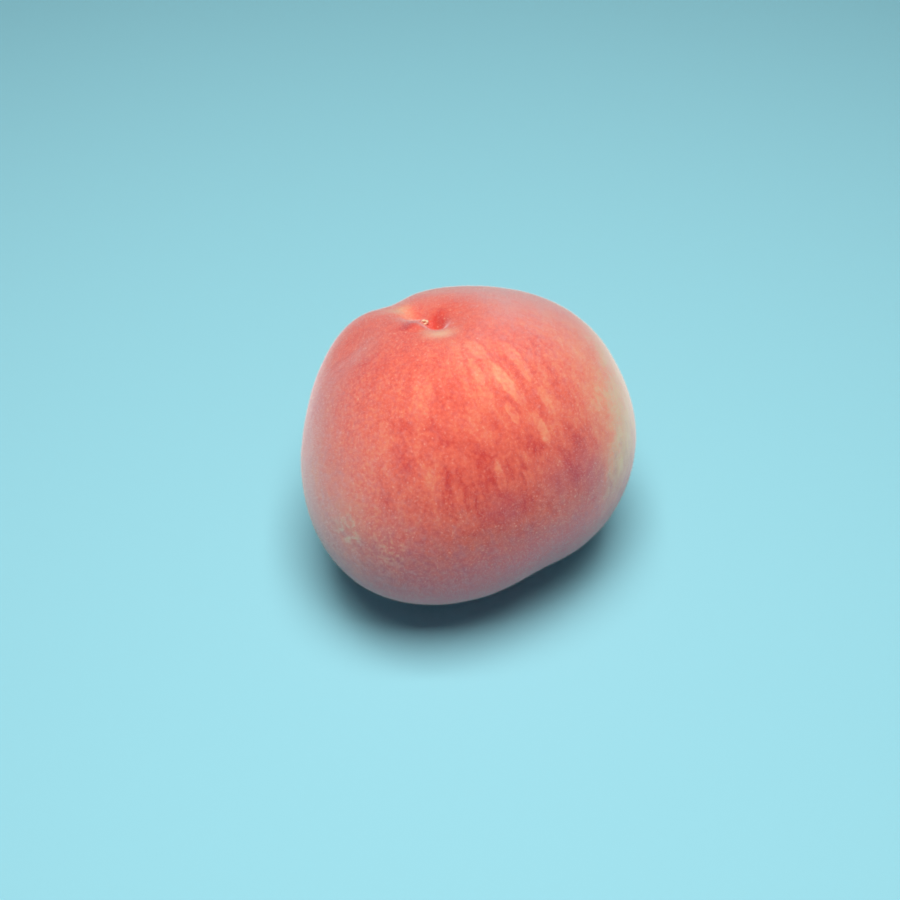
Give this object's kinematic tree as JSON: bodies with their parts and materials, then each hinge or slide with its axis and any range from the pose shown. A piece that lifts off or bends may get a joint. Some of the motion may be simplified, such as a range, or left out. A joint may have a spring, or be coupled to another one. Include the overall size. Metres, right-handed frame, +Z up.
{
  "type": "peach",
  "caption": "Ripe whole peach, plump and slightly lopsided, with a suture groove, a stem hollow without its stem, and a small flat spot underneath to rest on.",
  "frame": {"origin": "middle of the flat resting spot underneath, on the surface the fruit stands on", "axes": "+Z up as the fruit rests, stem end upwards; +X to the right and +Y to the back as seen from the side of its large smooth cheeks, with the suture groove at the back left"},
  "size_m": [0.0874, 0.0835, 0.0773],
  "materials": {
    "peach_skin": "matte"
  },
  "bodies": {
    "root": {"peach": "peach_skin"}
  },
  "joints": []
}
